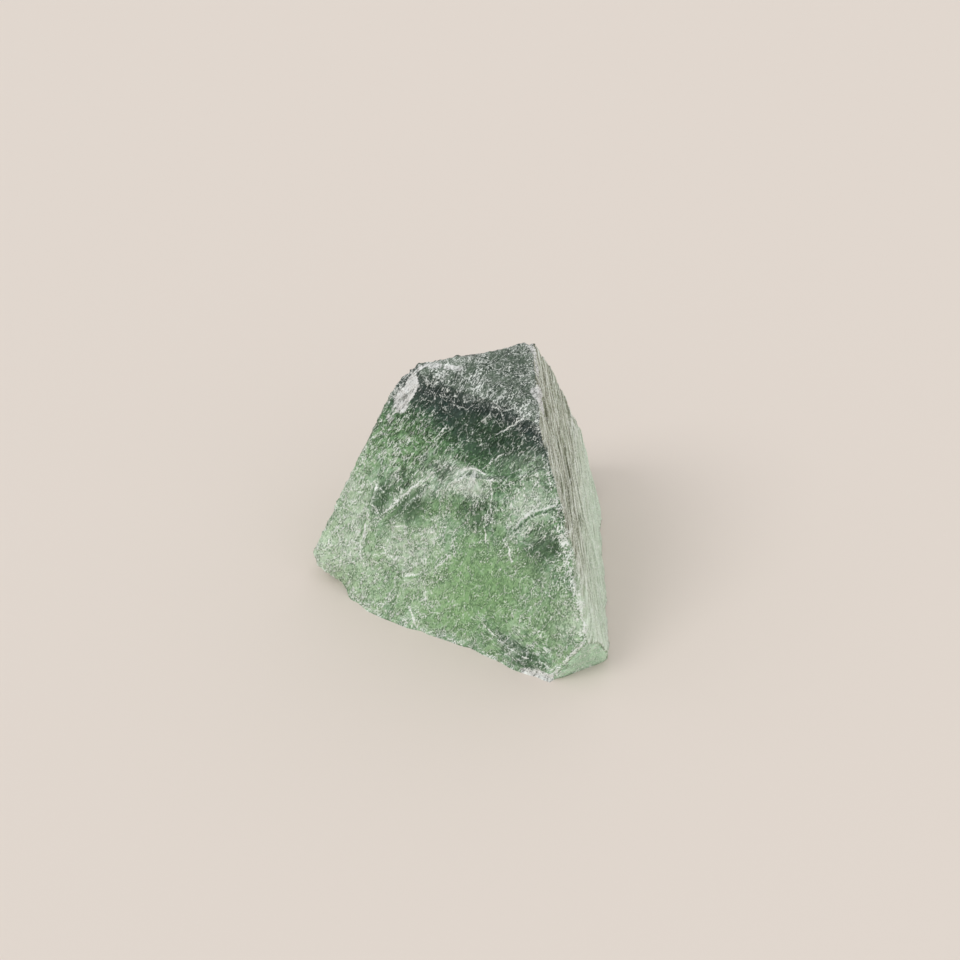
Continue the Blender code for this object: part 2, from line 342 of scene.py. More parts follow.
frontFleck = dict(
    underBreak=((24.0, 46.4), (14.0, 1.8), 0.0, 0.10),
    darkBand=((22.0, 42.4), (12.0, 2.6), 0.0, -0.12),
    ridgeTop=((13.6, 46.4), (2.2, 1.8), 150.0, 0.12),
    besideRidge=((12.4, 41.0), (3.4, 2.8), 0.0, 0.3),
    upperLeft=((40.0, 34.0), (8.0, 11.0), 120.0, 0.42),
    upperMiddle=((27.0, 39.6), (5.0, 3.0), 0.0, -0.15),
    leftSide=((47.0, 18.0), (5.5, 10.0), 0.0, 0.25),
    lobe=((51.0, 6.0), (4.0, 5.0), 0.0, 0.15),
    scar=((36.4, 16.0), (5.5, 5.0), 0.0, 0.22),
    besideScar=((30.0, 20.0), (4.0, 5.0), 0.0, 0.22),
    underScar=((34.0, 8.0), (6.0, 4.0), 30.0, 0.25),
    hackle=((22.0, 28.4), (6.0, 5.0), 0.0, 0.10),
    patch=((11.4, 33.4), (6.0, 5.4), 120.0, 0.34),
    midRight=((9.0, 21.0), (5.0, 3.4), 150.0, 0.05),
    lowRight=((11.0, 7.0), (7.0, 4.0), 20.0, 0.10),
    footStreaks=((5.4, 3.6), (6.0, 3.0), 20.0, 0.06),
    rim=((18.0, -0.6), (26.0, 1.2), 0.0, 0.30),
    glowCentre=((18.0, 14.6), (7.0, 5.5), 0.0, -0.30),
    darkIsland=((29.7, 33.3), (1.8, 1.6), 0.0, -0.35),
    aboveIsland=((31.0, 36.2), (4.2, 2.4), 124.0, -0.32),
    darkSmooth=((35.4, 24.6), (2.8, 4.6), 122.0, -0.30),
    mintFlat=((-2.0, 15.6), (3.0, 4.0), 30.0, -0.25),
)

# Colour zones inside the crystal and painted light in it, which also show a little on its other sides
# pale zones: partly the crystal's paler colour, partly painted light that comes through the thin lobe, the
# low left edge and the foot
frontPale = dict(
    lowLeft=((46.0, 6.5), (8.0, 6.0), 0.0, 0.62),
    lobe=((54.0, 7.0), (7.0, 9.0), 0.0, 1.0),
    besideRidge=((12.4, 41.0), (3.6, 3.0), 0.0, 0.4),
    leftSide=((48.0, 18.0), (4.5, 9.0), 0.0, 0.42),
    scar=((37.0, 14.0), (6.0, 6.0), 0.0, 0.32),
    footGlowMint=((-2.6, 15.0), (3.2, 5.0), 30.0, 0.85),
    lowScar=((31.0, 9.0), (6.0, 5.0), 0.0, 0.28),
)
# painted glow: light that comes through the crystal from the pale floor, painted as a paler yellow-green
frontPaintedGlow = dict(
    centre=((17.4, 13.6), (8.0, 6.6), 0.0, 0.85),
    lowMiddle=((23.0, 8.0), (8.0, 5.0), 0.0, 0.8),
    upperCentre=((21.0, 20.6), (3.6, 3.0), 0.0, 0.5),
    highLeft=((39.5, 37.0), (6.0, 7.0), 120.0, 0.3),
)
frontDark = dict(
    underCrown=((22.0, 43.6), (9.0, 3.6), 0.0, 0.62),
    island=((29.8, 33.3), (2.6, 2.1), 0.0, 0.8),
    besideBand=((35.6, 32.4), (1.6, 6.0), 34.0, 0.5),
    aboveFlake=((21.0, 39.0), (4.0, 2.4), 0.0, 0.35),
    smoothPatch=((35.4, 24.6), (6.0, 2.6), 124.0, 0.75),
    leftPatch=((42.6, 23.2), (3.4, 2.4), 100.0, 0.85),
    betweenPatches=((40.0, 27.0), (5.0, 2.2), 124.0, 0.7),
    hackle=((21.6, 28.6), (4.8, 5.0), 0.0, 0.6),
    underPatch=((6.4, 27.0), (4.4, 4.0), 140.0, 0.7),
    midRight=((6.0, 21.6), (4.0, 4.0), 150.0, 0.45),
    foot=((7.0, 3.4), (5.6, 2.2), 20.0, 0.95),
    lowRight=((14.0, 6.4), (7.0, 2.0), 20.0, 0.3),
)

# Directions that the hackle runs in on the front face
frontHackle = dict(
    hackleUpright=dict(
        hackle=((22.6, 28.6), (6.5, 5.6), 0.0, 1.0),
        patch=((12.0, 33.0), (5.0, 5.0), 0.0, 0.4),
        crownLeft=((33.0, 50.0), (5.0, 4.0), 0.0, 0.6)),
    hackleSlant=dict(
        upper=((36.0, 36.0), (13.0, 11.0), 0.0, 1.0),
        upperRight=((18.0, 44.0), (12.0, 5.0), 0.0, 1.0),
        underPatch=((9.0, 26.0), (6.0, 6.0), 0.0, 0.7)),
    hackleDownhill=dict(
        foot=((8.0, 4.4), (10.0, 4.2), 12.0, 1.0)),
)


# Chipped places and bright streaks, as a radius and a strength with points in mm from the front foot
chips = dict(
    leftChip=(1.9, 1.0, ((-26.4, 35.0, 45.2), (-28.9, 34.2, 40.6))),
    leftRim=(0.8, 0.7, ((-26.2, 35.6, 46.2), (-24.4, 36.6, 48.2), (-21.8, 36.4, 48.5), (-17.1, 35.3, 48.3))),
    leftTail=(1.2, 0.5, ((-28.9, 34.2, 40.6), (-30.8, 33.9, 36.4))),
    rightChip=(1.2, 0.7, ((-3.4, 43.4, 47.6), (-2.2, 39.0, 46.0), (-1.9, 31.0, 45.0))),
    rightChipLow=(2.0, 1.0, ((-2.4, 30.0, 46.0), (-1.5, 27.6, 44.4))),
    frontCrumb=(1.2, 0.9, ((-4.6, 2.6, 0.4), (-1.8, 1.0, 0.4), (0.2, 0.4, 0.6))),
    rimCrumb=(0.9, 0.6, ((-36.0, 22.4, 0.5), (-30.4, 18.6, 0.5), (-26.0, 16.0, 0.5))),
)


# White ragged crust along edges, as a radius and a strength with points on the front face
crusts = dict(
    ridgeLow=(1.15, 0.9, ((5.4, 35.4), (3.9, 31.0), (2.6, 27.1), (0.6, 22.8), (-1.4, 19.5), (-3.8, 14.9),
                          (-5.3, 11.7))),
    ridgeHigh=(0.7, 0.5, ((12.2, 48.8), (9.3, 41.2), (6.3, 35.2))),
    footEdge=(0.8, 0.75, ((-5.3, 11.7), (-4.4, 9.0), (-2.0, 5.4), (0.4, 1.0))),
    foot=(1.1, 0.9, ((4.4, 0.0), (1.6, 0.2), (0.0, 0.4))),
    rim=(0.6, 0.6, ((36.0, 0.4), (28.0, 0.2), (18.0, 0.2), (8.0, 0.0))),
)


# The frosted break where the front gives way to the top, in mm from the front foot
topBreak = dict(
    radius=2.4,
    fleck=0.22,
    points=((-24.2, 32.9, 44.6), (-21.0, 32.6, 46.5), (-18.0, 33.4, 47.7), (-14.9, 33.2, 47.6),
            (-12.9, 30.7, 47.5), (-10.9, 27.1, 47.2), (-7.9, 25.5, 47.0), (-4.9, 24.3, 46.9),
            (-2.9, 23.0, 46.4)),
)


ovalEdge = dict(fall=0.7, power=1.5)        # how softly an oval ends


def ovalSum(areas, across, up, add=False):
    # soft ovals, each as high as its strength in the middle: the strongest of them, or their sum
    total = np.zeros(len(across))
    for middle, radius, turn, strength in areas.values():
        swing, lift = math.cos(math.radians(turn)), math.sin(math.radians(turn))
        first, second = across - middle[0], up - middle[1]
        along = (first * swing + second * lift) / radius[0]
        beside = (second * swing - first * lift) / radius[1]
        away = (along ** 2 + beside ** 2) ** ovalEdge["power"]
        shape = strength * np.exp(-ovalEdge["fall"] * away)
        total = total + shape if add else np.maximum(total, shape)
    return total


def lineGap(across, up, points):
    # distance in mm from each place to a broken line
    best = np.full(across.shape, np.inf)
    for (x0, y0), (x1, y1) in zip(points, points[1:]):
        runX, runY = x1 - x0, y1 - y0
        share = np.clip(((across - x0) * runX + (up - y0) * runY) / (runX ** 2 + runY ** 2), 0.0, 1.0)
        best = np.minimum(best, np.hypot(across - x0 - share * runX, up - y0 - share * runY))
    return best


def spotGap(places, points):
    # distance in mm from each place to a broken line in space, its points in mm from the front foot
    away = (places - np.array(frontFoot)) / mm
    best = np.full(len(places), np.inf)
    for start, end in zip(points, points[1:]):
        first, run = np.array(start), np.array(end) - np.array(start)
        share = np.clip((away - first) @ run / (run @ run), 0.0, 1.0)
        best = np.minimum(best, np.linalg.norm(away - first - share[:, None] * run, axis=1))
    return best


markWander = dict(amount=0.3, sizes=(1.5, 1.5, 1.0), seeds=(20.0, 24.0))   # mm that the marks stray


def measureMarks(across, up):
    # distance to the nearest mark in mm and in its own widths, and how white that mark is
    flat = np.zeros(len(across))
    stray = [fieldNoise(across, up, flat, markWander["sizes"], 0.0, seed) * markWander["amount"]
             for seed in markWander["seeds"]]
    across, up = across + stray[0], up + stray[1]
    gap, reach, power = (np.full(len(across), start) for start in (np.inf, np.inf, 0.0))
    for width, strength, points in frontLines.values():
        away = lineGap(across, up, points)
        nearer = away / width < reach
        reach = np.where(nearer, away / width, reach)
        power = np.where(nearer, strength, power)
        gap = np.minimum(gap, away)
    return gap, reach, power


# The stone's skin: the solid's mesh made finer, with cleavage steps, hackle and worn edges

skin = dict(
    weldGap=0.001,              # mm, corners closer than this are one
    rounds=2,                   # each splits every triangle in four
    fineReach=0.7,              # mm from a mark of the front where one more round is made
    finePart=0.8,               # how squarely a point faces front before that round reaches it
    edgeReach=16,               # rounds of smoothing that find the edges
    edgeProud=(0.05, 0.32),     # mm that an edge stands proud, where wear starts and where it is full
    markBand=0.8,               # mm on each side of a mark that it frosts
    riser=0.74,                 # share of a terrace where the rise to the next one starts
    darkCalm=0.8,               # how much of the steps the dark areas lose
    hiddenCalm=0.6,             # how much of the hackle the sides away from the front lose
    grooveDepth=0.032,          # mm, along the marks
    grooveRagged=0.04,
    edgeDepth=0.119,            # mm, on the worn edges
    edgeRagged=0.306,
    chipDepth=0.18,             # mm, on the chips
    chipAtEdge=0.27,
    chipRagged=0.36,
    restHeight=0.02,            # mm above the lower face that stays as on the solid
    zoneDepth=22.0,             # mm, how deep the colour zones and the painted glow of the front face reach
    ridgeChipUp=(24.0, 18.0),   # mm up the front face where the bevel by the ridge fades in
    ridgeChipShare=0.9,
    rightPaleUp=(26.0, 8.0),    # mm up the right face where it turns pale
    rightGreyDepth=(-3.5, 0.0),     # mm behind the front where the right face is grey
)

# How squarely a point faces the way of a face before it belongs to it, from none to all
faceShare = dict(front=(0.80, 0.97), right=(0.80, 0.96), top=(0.80, 0.97), foot=(0.85, 0.97),
                 ridgeChip=(0.86, 0.97), base=(0.93, 0.99))

# How densely the white hackle covers each face before the areas of the front are added
fleckLevel = dict(front=0.30, footOfFront=0.6, top=0.42, right=0.35, base=0.35)

# The sides away from the front: frosting, hackle and dark zones laid out by slow noises
hiddenSides = dict(fleck=0.34, fleckSwing=0.55, haze=0.3, hazeFrom=(0.16, 0.42), dark=0.35,
                   darkFrom=(0.0, 0.45), slantFrom=(-0.05, 0.20), turnFrom=(-0.1, 0.2))

# Noises: sizes in mm along, beside and into the stone, turn in degrees, seed
stoneNoise = dict(
    terrace=((9.0, 3.4, 8.0), 120.0, 1.0),
    terraceCross=((6.0, 4.0, 6.0), 60.0, 2.0),
    terraceRagged=((1.9, 1.1, 1.5), 110.0, 3.0),
    broad=((6.0, 2.2, 6.0), 120.0, 4.0),
    slant=((3.2, 0.95, 2.4), 118.0, 6.0),
    slantFine=((1.8, 0.55, 1.4), 112.0, 6.5),
    upright=((3.4, 1.0, 2.4), 92.0, 7.0),
    downhill=((3.4, 1.0, 2.4), 22.0, 8.0),
    lump=((1.1, 1.1, 1.1), 0.0, 11.0),
    lumpFine=((0.6, 0.6, 0.6), 0.0, 12.0),
    web=((1.9, 1.2, 1.6), 118.0, 13.0),
    hackleZone=((14.0, 8.0, 12.0), 118.0, 14.0),
    frostZone=((12.0, 7.0, 10.0), 60.0, 15.0),
    turnZone=((9.0, 6.0, 8.0), 100.0, 16.0),
)
fibreNoise = dict(
    fibre=((22.0, 1.25, 5.0), 143.0, 9.0),
    fibreFine=((9.0, 0.55, 2.5), 143.0, 10.0),
)
crested = ("slant", "upright", "downhill", "web", "fibre")      # these rise to sharp crests
terraceCount = dict(terrace=1.9, terraceCross=1.3, terraceRagged=0.5)   # terraces over each noise's swing
firstTerrace = 8.0

# Relief in mm that each noise makes in each area
relief = dict(
    steppedFront=dict(steps=0.24),
    front=dict(broad=0.08),
    slant=dict(slant=0.204, slantFine=0.204),
    upright=dict(upright=0.204),
    downhill=dict(downhill=0.204),
    flecked=dict(web=0.12, lumpFine=0.14),
    right=dict(fibre=0.13, fibreFine=0.208),
    top=dict(lump=0.26, lumpFine=0.156),
    hidden=dict(steps=0.288, lump=0.156, web=0.10),
    hazy=dict(lump=0.10, lumpFine=0.20),
)


def solidCopy():
    # the solid's own mesh with its seams welded, finest along the marks of the front face
    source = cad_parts["fluorite"]
    bm = bmesh.new()
    bm.from_mesh(source.data)
    bmesh.ops.remove_doubles(bm, verts=bm.verts, dist=skin["weldGap"] * mm)
    bmesh.ops.triangulate(bm, faces=bm.faces)
    for cycle in range(skin["rounds"]):
        bmesh.ops.subdivide_edges(bm, edges=bm.edges, cuts=1, use_grid_fill=True)
        bmesh.ops.triangulate(bm, faces=bm.faces)
    bm.normal_update()
    bm.verts.index_update()
    places = np.array([vert.co for vert in bm.verts])
    normals = np.array([vert.normal for vert in bm.verts])
    across, up = frontFace.measure(places)[:2]
    facingFront = normals @ np.array(frontFace.normal) > skin["finePart"]
    close = (measureMarks(across, up)[0] < skin["fineReach"]) & facingFront
    split = [edge for edge in bm.edges if close[edge.verts[0].index] and close[edge.verts[1].index]]
    bmesh.ops.subdivide_edges(bm, edges=split, cuts=1, use_grid_fill=True)
    bmesh.ops.triangulate(bm, faces=bm.faces)
    mesh = bpy.data.meshes.new("fluoriteSkin")
    bm.to_mesh(mesh)
    bm.free()
    return mesh


def meshArrays(mesh):
    places = np.empty(len(mesh.vertices) * 3)
    mesh.vertices.foreach_get("co", places)
    normals = np.empty(len(mesh.vertices) * 3)
    mesh.vertices.foreach_get("normal", normals)
    edges = np.empty(len(mesh.edges) * 2, dtype=np.int64)
    mesh.edges.foreach_get("vertices", edges)
    return places.reshape(-1, 3), normals.reshape(-1, 3), edges.reshape(-1, 2)


def relax(values, edges, rounds):
    # spread values to their neighbours along the edges
    count = len(values)
    degree = np.bincount(edges.ravel(), minlength=count).astype(float)
    spread = values.copy()
    for cycle in range(rounds):
        total = np.empty_like(spread)
        for column in range(spread.shape[1]):
            first = np.bincount(edges[:, 0], weights=spread[edges[:, 1], column], minlength=count)
            second = np.bincount(edges[:, 1], weights=spread[edges[:, 0], column], minlength=count)
            total[:, column] = (first + second) / degree
        spread = total
    return spread


def fieldNoise(across, up, depth, sizes, turn=0.0, seed=0.0):
    # noise from -1 to 1, stretched along a direction, with places in mm
    swing, lift = math.cos(math.radians(turn)), math.sin(math.radians(turn))
    along = (across * swing + up * lift) / sizes[0]
    beside = (up * swing - across * lift) / sizes[1]
    deep = depth / sizes[2] + seed
    return np.array([noise.noise(Vector(spot)) for spot in zip(along, beside, deep)])


def crest(values):
    # sharp crests from a noise, from -1 to 1
    return 1.0 - 4.0 * np.abs(values)


def buildSkin():
    mesh = solidCopy()
    places, normals, edges = meshArrays(mesh)
    across, up, height = frontFace.measure(places)
    rightAcross, rightUp, rightHeight = rightFace.measure(places)
    shapes = {name: fieldNoise(across, up, height, *layout) for name, layout in stoneNoise.items()}
    shapes.update((name, fieldNoise(rightAcross, rightUp, rightHeight, *layout))
                  for name, layout in fibreNoise.items())
    for name in crested:
        shapes[name] = crest(shapes[name])

    def belongs(name, normal):
        return smooth(*faceShare[name], normals @ np.array(normal))

    # which face each point belongs to
    onFront, onRight = belongs("front", frontFace.normal), belongs("right", rightFace.normal)
    onTop, onFoot = belongs("top", topFace.normal), belongs("foot", footFace.normal)
    onBase = belongs("base", (0.0, 0.0, -1.0))
    onRidgeChip = belongs("ridgeChip", ridgeChip.normal) * smooth(*skin["ridgeChipUp"], up)
    onOther = np.clip(1.0 - onFront - onRight - onTop - onFoot - onBase - onRidgeChip, 0.0, 1.0)

    # worn edges stand proud of their smoothed neighbourhood
    softened = relax(places, edges, skin["edgeReach"])
    bulge = np.einsum("ij,ij->i", places - softened, normals) / mm
    edgeWorn = smooth(*skin["edgeProud"], bulge)

    # marks, frost, hackle, colour zones and painted glow of the front face
    gap, reach, power = measureMarks(across, up)
    lineCore = np.exp(-reach ** 2) * power * onFront
    lineBand = np.exp(-(gap / skin["markBand"]) ** 2) * power * onFront
    haze = ovalSum(frontHaze, across, up) * onFront
    fleck = fleckLevel["front"] + ovalSum(frontFleck, across, up, add=True) * onFront
    fleck = fleck * (onFront + onFoot * fleckLevel["footOfFront"])
    fleck += onTop * fleckLevel["top"] + onRight * fleckLevel["right"] + onBase * fleckLevel["base"]
    hackle = {name: ovalSum(areas, across, up) * onFront for name, areas in frontHackle.items()}
    fading = np.exp(-(height / skin["zoneDepth"]) ** 2)
    pale, glow, dark = (ovalSum(areas, across, up) * fading for areas in (frontPale, frontPaintedGlow, frontDark))

    # the same kinds of zones on the other sides
    hidden, frostZone = hiddenSides, shapes["frostZone"]
    fleck += onOther * (hidden["fleck"] + hidden["fleckSwing"] * frostZone)
    haze += onOther * smooth(*hidden["hazeFrom"], frostZone) * hidden["haze"]
    dark += onOther * smooth(*hidden["darkFrom"], -frostZone) * hidden["dark"]
    hackle["hackleSlant"] += onOther * smooth(*hidden["slantFrom"], shapes["hackleZone"])
    offSlant = onOther * smooth(*hidden["slantFrom"], -shapes["hackleZone"])
    hackle["hackleUpright"] += offSlant * smooth(*hidden["turnFrom"], shapes["turnZone"])
    hackle["hackleDownhill"] += offSlant * smooth(*hidden["turnFrom"], -shapes["turnZone"])

    # the break below the top, the chips and the crust along the edges
    broken = np.exp(-(spotGap(places, topBreak["points"]) / topBreak["radius"]) ** 2)
    fleck += broken * topBreak["fleck"]
    hackle["hackleTop"] = broken * (1.0 - onFront)
    chipped = np.zeros(len(places))
    for radius, strength, points in chips.values():
        chipped = np.maximum(chipped, strength * np.exp(-(spotGap(places, points) / radius) ** 4))
    crust = np.zeros(len(places))
    for radius, strength, points in crusts.values():
        near = np.hypot(lineGap(across, up, points), height) / radius
        crust = np.maximum(crust, strength * np.exp(-near ** 2))
    print("marks measured")

    # relief in mm along the normal
    terrace = sum(shapes[name] * count for name, count in terraceCount.items()) + firstTerrace
    tread = terrace - np.floor(terrace)
    shapes["steps"] = smooth(skin["riser"], 1.0, tread) - tread
    calm = 1.0 - skin["darkCalm"] * np.clip(dark, 0.0, 1.0)
    quiet = 1.0 - skin["hiddenCalm"] * onOther
    share = dict(steppedFront=onFront * calm, front=onFront, slant=hackle["hackleSlant"] * quiet,
                 upright=hackle["hackleUpright"] * quiet, downhill=hackle["hackleDownhill"] * quiet,
                 flecked=onFront * fleck, right=onRight, top=onTop, hidden=onOther, hazy=haze)
    rise = sum(share[area] * sum(shapes[name] * tall for name, tall in heights.items())
               for area, heights in relief.items())
    lump, lumpFine = shapes["lump"], shapes["lumpFine"]
    ragged = np.clip(lump + 0.5 * lumpFine, -0.3, 1.0)
    rise -= lineCore * (skin["grooveDepth"] + skin["grooveRagged"] * lump)
    rise -= edgeWorn * (skin["edgeDepth"] + skin["edgeRagged"] * ragged)
    rise -= chipped * (skin["chipDepth"] + skin["chipAtEdge"] * edgeWorn + skin["chipRagged"] * lump)
    rise *= 1.0 - onBase
    rise[places[:, 2] < skin["restHeight"] * mm] = 0.0
    places = places + normals * (rise * mm)[:, None]
    places = np.clip(places, np.array(cadBox[0]), np.array(cadBox[1]))
    mesh.vertices.foreach_set("co", places.ravel())
    mesh.update()

    # the right-hand face is palest low down and grey by the ridge
    onRight = np.maximum(onRight, onRidgeChip * skin["ridgeChipShare"])
    rightLow = np.maximum(smooth(*skin["rightPaleUp"], rightUp) * onRight, onRidgeChip)
    rightRidge = smooth(*skin["rightGreyDepth"], height) * onRight * (1.0 - rightLow)
    values = dict(onRight=onRight, onTop=onTop, onFoot=onFoot, rightLow=rightLow, rightRidge=rightRidge,
                  edgeWorn=edgeWorn, chipped=chipped, crust=crust, lineCore=lineCore, lineBand=lineBand,
                  haze=haze, fleck=fleck, pale=pale, glow=glow, dark=dark, terrace=terrace, **hackle)
    for name, value in values.items():
        layer = mesh.attributes.new(name, "FLOAT", "POINT")
        layer.data.foreach_set("value", value.astype(np.float32))
    piece = bpy.data.objects.new("fluoriteSkin", mesh)
    bpy.context.scene.collection.objects.link(piece)
    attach(piece, "root")
    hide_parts("fluorite")
    print("skin built,", len(mesh.polygons), "triangles")
    return piece


skinPiece = buildSkin()


# Green fluorite: growth layers of colour, painted light through the crystal, white hackle and frosted marks

look = dict(
    # growth layers from the base up, as a share of the height: dark upper layers of the crystal's own colour,
    # and paler lower layers that are partly painted light coming through from the floor
    layers=((0.00, linear(150, 184, 138)), (0.36, linear(144, 178, 132)), (0.60, linear(120, 160, 112)),
            (0.76, linear(88, 133, 84)), (0.85, linear(46, 80, 66)), (0.92, linear(38, 52, 52)),
            (1.00, linear(84, 100, 84))),
    layerWave=6.0,          # mm that the layers wander up and down
    stoneHeight=48.6,
    # painted glow of light through the crystal
    paintedGlowGreen=linear(140, 182, 122),
    darkMoss=linear(72, 104, 70),
    gapDark=linear(22, 45, 34),
    gapGreen=linear(76, 108, 74),
    # pale zones, partly painted light through the thin parts
    paleGreen=linear(190, 214, 180),
    teal=linear(128, 162, 140),
    # painted light on the thin foot
    footGlowMint=linear(206, 242, 208),
    frostGreen=linear(204, 220, 192),
    frostGrey=linear(204, 210, 202),
    frost=linear(248, 252, 246),
    softFrost=linear(204, 218, 204),
    lilac=linear(236, 236, 234),
    lilacDark=linear(120, 124, 118),
    topGrey=linear(90, 106, 88),
    fibres=((0.34, linear(84, 88, 64)), (0.45, linear(150, 156, 130)), (0.54, linear(204, 211, 192)),
            (0.66, linear(246, 250, 240))),
    fibreMint=linear(216, 239, 212),
    fibreGrey=linear(184, 184, 168),
    bendSize=5.0,           # mm, how far apart the strokes change direction
    bendAmount=1.8,
    # noises over the surface: sizes in mm along, beside and into the stone, turn, detail, roughness
    cloud=((9.0, 9.0, 9.0), 0.0, 3.0, 0.55),
    drift=((7.0, 5.0, 6.0), 60.0, 2.0, 0.55),
    blotch=((2.4, 1.5, 2.4), 118.0, 3.0, 0.6),
    crumb=((1.3, 0.9, 1.3), 118.0, 3.0, 0.6),
    speck=((0.40, 0.24, 0.32), 118.0, 1.0, 0.55),
    streaks=((4.0, 0.55, 2.0), 118.0, 3.0, 0.7),
    fibreLong=((16.0, 0.50, 2.0), 143.0, 3.0, 0.65),
    fibreShort=((4.0, 0.26, 1.0), 143.0, 2.0, 0.6),
    crazed=((2.6, 1.7, 2.2), 118.0, 0.08),          # cracked cells: sizes, turn, width of their rims
    broken=((6.5, 3.6, 5.0), 112.0, 0.035),
    # threads of the hackle: sizes, turn against the stroke, width, strength
    threads=(((3.6, 1.6, 2.0), 0.0, 0.02, 1.4), ((1.4, 0.8, 1.4), 6.0, 0.045, 1.2),
             ((0.8, 0.42, 0.9), -12.0, 0.08, 1.0)),
    threadGrain=((0.28, 0.20, 0.36), -6.0, 6.0),    # sizes, turn, strength
    threadMean=0.64,
    plainStrokes=1.1,       # how much plain grain is left where no stroke runs
    speckStrength=3.8,
    densityStrength=1.1,
    # strokes of the hackle: turn in degrees, how much longer than plain, and the face they lie on
    strokes=dict(hackleSlant=(118.0, 4.2, frontFace), hackleUpright=(91.0, 3.0, frontFace),
                 hackleDownhill=(24.0, 4.2, frontFace), hackleTop=(133.0, 3.0, topFace)),
    plainStroke=(100.0, 1.5, frontFace),
    # the rays of the bruise: where they meet on the front face, reach in mm, how many, how wide
    bruise=dict(middle=(24.2, 37.0), reach=(1.0, 7.0), spokes=5.0, stretch=0.12, cut=(0.45, 0.57),
                below=(0.2, 0.9)),
    refraction=1.434,
    bump=0.8,
    bumpDepth=0.16,         # mm
)

# How strongly each layer covers what is under it
cover = dict(
    teal=0.35, shadow=0.85, topGrey=0.8, footGlowMint=0.95, veil=0.30,
    gaps=0.72, gapsOnFoot=0.45, gapsInHaze=0.35,
    frosting=0.66, brightFrosting=0.6, frost=0.7, frostOffRight=0.75,
    right=0.92, rightMint=0.55, rightGrey=0.5,
    chip=0.95, marks=0.8, edges=0.5, crust=0.95, rays=0.8, whitest=0.92, clearing=0.5, roughness=0.8,
)

# Soft steps of the masks: where each starts and where it is full
step = dict(
    teal=(0.46, 0.62), tealTop=(0.6, 0.75), shadow=(0.15, 0.7),
    strokes=(0.40, 0.58), veins=(0.46, 0.60), rims=(0.44, 0.58),
    lipRise=(0.64, 0.71), lipFall=(0.74, 0.84), lipCrumb=(0.42, 0.56),
    sparse=(0.60, 0.86), light=(-0.1, 1.5), deep=(-0.2, 1.2), bright=(0.7, 1.6),
    thin=(0.38, 0.52), veil=(0.40, 1.20), veilTop=(0.66, 0.80), gaps=(0.42, 0.76), greyFrost=(0.66, 0.86),
    marks=(0.3, 0.9), markBand=(0.05, 0.3), edgeSpeck=(0.45, 0.62), edgeCrumb=(0.36, 0.58),
    crust=(0.35, 1.5), crustBand=(0.02, 0.25), chip=(0.3, 0.7), chipBand=(0.04, 0.3),
)

# How much each part counts where several add up
weight = dict(
    pale=dict(start=0.6, blotch=0.8),
    shadow=dict(start=1.0, blotch=1.2),
    clearing=dict(glow=0.4, dark=0.3),
    patchy=dict(start=0.4, blotch=0.9),
    directed=dict(start=1.0, strokes=0.35),
    facet=dict(broken=0.6, crazed=0.4),
    density=dict(crumb=0.8, coat=0.5, lineBand=0.5, haze=0.4, facet=0.7),
    sparse=dict(layers=0.55, dark=0.35),
    thin=dict(veins=0.5, rims=0.8, lip=0.6),
    thinOnFleck=dict(start=0.35, fleck=1.0),
    marks=dict(core=1.4, speck=2.0, crumb=1.4),
    hazy=dict(start=0.5, light=0.5),
    edges=dict(start=0.1, speck=1.0),
    crust=dict(crumb=3.0, speck=3.4),
    chip=dict(crumb=1.4, streaks=1.4),
    chipTone=dict(start=0.75, streaks=4.0, speck=1.6),
    gaps=dict(layers=1.0, dark=0.7),
    fibres=dict(start=-0.65, long=1.38, short=0.92, low=0.09),
    strokeRelief=dict(tone=0.5, speck=0.3),
    wholeRelief=dict(strokes=1.0, whitest=0.4, fibres=3.0),
    roughness=dict(start=0.24, light=0.2, whitest=0.2, top=0.15),
)


def addUp(name, **parts):
    # the parts added up, each times its weight
    total = None
    for part, value in parts.items():
        share = value if weight[name][part] == 1.0 else value * weight[name][part]
        total = share if total is None else total + share
    return total + weight[name]["start"] if "start" in weight[name] else total


def bruiseRays(shader, place):
    # white rays that spread down from the bruise
    bruise = look["bruise"]
    home = [bruise["middle"][0] + frontFoot.dot(frontFace.across) / mm,
            bruise["middle"][1] + frontFoot.dot(frontFace.up) / mm, 0.0]
    away = shader.node("ShaderNodeVectorMath", dict(operation="SUBTRACT"),
                       (shader.stretched(place, frontFace.axes, (1.0, 1.0, 1.0)), home))
    across = shader.node("ShaderNodeSeparateXYZ", {}, (away,), "X")
    up = shader.node("ShaderNodeSeparateXYZ", {}, (away,), "Y")
    distance = (across * across + up * up) ** 0.5
    angle = across.maths("ARCTAN2", up)
    below = (-up / distance.atLeast(0.1)).between(*bruise["below"])
    spread = shader.node("ShaderNodeCombineXYZ", {},
                         (angle * bruise["spokes"], distance * bruise["stretch"], 0.0))
    rays = shader.grain(spread, 3.0, 0.7).between(*bruise["cut"])
    return rays * below * (1.0 - distance.between(*bruise["reach"]))


